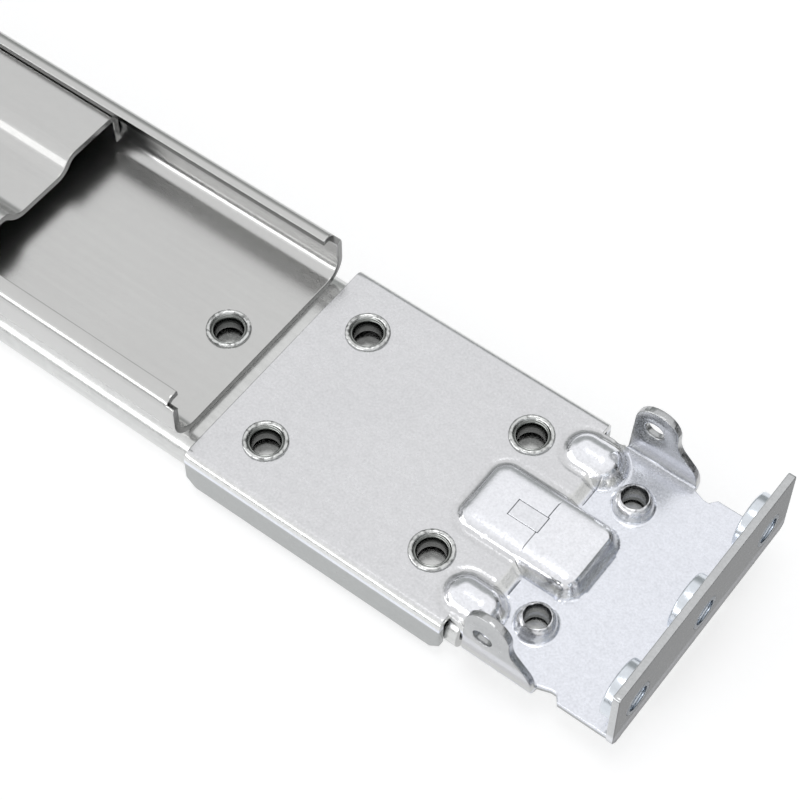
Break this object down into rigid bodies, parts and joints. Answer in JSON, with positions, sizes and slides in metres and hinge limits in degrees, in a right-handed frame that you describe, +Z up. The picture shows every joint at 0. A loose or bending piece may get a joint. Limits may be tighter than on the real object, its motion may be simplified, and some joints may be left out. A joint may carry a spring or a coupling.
{
  "type": "sliding server rail pair",
  "caption": "Pair of ball-bearing sliding rails for a rack server, each with a pressed front bracket, a telescoping rear end and rack flanges with nuts.",
  "frame": {"origin": "middle of the pair in X and Y, on the chassis faces of the inner members, which the pair lies on", "axes": "+X along the rails to the front rack face, +Y across from the right to the left rail, +Z up, away from the server's side"},
  "size_m": [0.69, 0.1624, 0.0224],
  "materials": {
    "slide_steel": "cold-rolled steel with a smooth bright zinc coat",
    "galvanised_steel": "smooth galvanised sheet, satin",
    "bracket_steel": "bright zinc plate with a fine speckle and a cool tint",
    "rivet_steel": "zinc plate, rolled rims",
    "nut_steel": "blue zinc plate, turned",
    "screw_steel": "zinc plate",
    "ball_steel": "polished",
    "cage_steel": "thin bright strip",
    "black_plastic": "moulded, fine grain",
    "lever_steel": "black coat"
  },
  "bodies": {
    "fixed_rails": {"left_outer_member": "slide_steel", "left_rear_bumper": "black_plastic", "left_front_bracket": "bracket_steel", "left_front_nuts": "nut_steel", "left_support_channel": "galvanised_steel", "left_adjustment_nuts": "nut_steel", "left_adjustment_screws": "screw_steel", "right_outer_member": "slide_steel", "right_rear_bumper": "black_plastic", "right_front_bracket": "bracket_steel", "right_front_nuts": "nut_steel", "right_support_channel": "galvanised_steel", "right_adjustment_nuts": "nut_steel", "right_adjustment_screws": "screw_steel"},
    "left_middle": {"left_middle_member": "slide_steel", "left_stop_pin": "rivet_steel"},
    "left_inner": {"left_inner_member": "slide_steel", "left_lever_pivot": "rivet_steel"},
    "left_lever": {"left_release_lever": "lever_steel"},
    "left_outer_cage": {"left_outer_ball_cage": "cage_steel", "left_outer_balls": "ball_steel"},
    "left_inner_cage": {"left_inner_ball_cage": "cage_steel", "left_inner_balls": "ball_steel"},
    "left_extension": {"left_rear_extension": "galvanised_steel", "left_rear_bracket": "bracket_steel", "left_rear_nuts": "nut_steel"},
    "right_middle": {"right_middle_member": "slide_steel", "right_stop_pin": "rivet_steel"},
    "right_inner": {"right_inner_member": "slide_steel", "right_lever_pivot": "rivet_steel"},
    "right_lever": {"right_release_lever": "lever_steel"},
    "right_outer_cage": {"right_outer_ball_cage": "cage_steel", "right_outer_balls": "ball_steel"},
    "right_inner_cage": {"right_inner_ball_cage": "cage_steel", "right_inner_balls": "ball_steel"},
    "right_extension": {"right_rear_extension": "galvanised_steel", "right_rear_bracket": "bracket_steel", "right_rear_nuts": "nut_steel"}
  },
  "joints": [
    {"name": "left_middle_slide", "type": "slide", "parent": "fixed_rails", "child": "left_middle", "axis": [1, 0, 0], "range_m": [0, 0.31]},
    {"name": "left_outer_cage_slide", "type": "slide", "parent": "fixed_rails", "child": "left_outer_cage", "axis": [1, 0, 0], "range_m": [0, 0.155]},
    {"name": "left_inner_slide", "type": "slide", "parent": "left_middle", "child": "left_inner", "axis": [1, 0, 0], "range_m": [0, 0.34]},
    {"name": "left_inner_cage_slide", "type": "slide", "parent": "left_middle", "child": "left_inner_cage", "axis": [1, 0, 0], "range_m": [0, 0.17]},
    {"name": "left_lever_hinge", "type": "hinge", "parent": "left_inner", "child": "left_lever", "pos_m": [0.0263, 0.064, 0.0021], "axis": [0, 0, -1], "range_deg": [0, 6], "stiffness_Nm_per_rad": 0.02},
    {"name": "left_extension_slide", "type": "slide", "parent": "fixed_rails", "child": "left_extension", "axis": [-1, 0, 0], "range_m": [-0.035, 0.18]},
    {"name": "right_middle_slide", "type": "slide", "parent": "fixed_rails", "child": "right_middle", "axis": [1, 0, 0], "range_m": [0, 0.31]},
    {"name": "right_outer_cage_slide", "type": "slide", "parent": "fixed_rails", "child": "right_outer_cage", "axis": [1, 0, 0], "range_m": [0, 0.155]},
    {"name": "right_inner_slide", "type": "slide", "parent": "right_middle", "child": "right_inner", "axis": [1, 0, 0], "range_m": [0, 0.34]},
    {"name": "right_inner_cage_slide", "type": "slide", "parent": "right_middle", "child": "right_inner_cage", "axis": [1, 0, 0], "range_m": [0, 0.17]},
    {"name": "right_lever_hinge", "type": "hinge", "parent": "right_inner", "child": "right_lever", "pos_m": [0.0263, -0.056, 0.0021], "axis": [0, 0, -1], "range_deg": [0, 6], "stiffness_Nm_per_rad": 0.02},
    {"name": "right_extension_slide", "type": "slide", "parent": "fixed_rails", "child": "right_extension", "axis": [-1, 0, 0], "range_m": [-0.035, 0.18]}
  ],
  "couplings": [
    {"joint": "left_outer_cage_slide", "follows": "left_middle_slide", "ratio": 0.5},
    {"joint": "left_inner_cage_slide", "follows": "left_inner_slide", "ratio": 0.5},
    {"joint": "right_outer_cage_slide", "follows": "right_middle_slide", "ratio": 0.5},
    {"joint": "right_inner_cage_slide", "follows": "right_inner_slide", "ratio": 0.5}
  ]
}
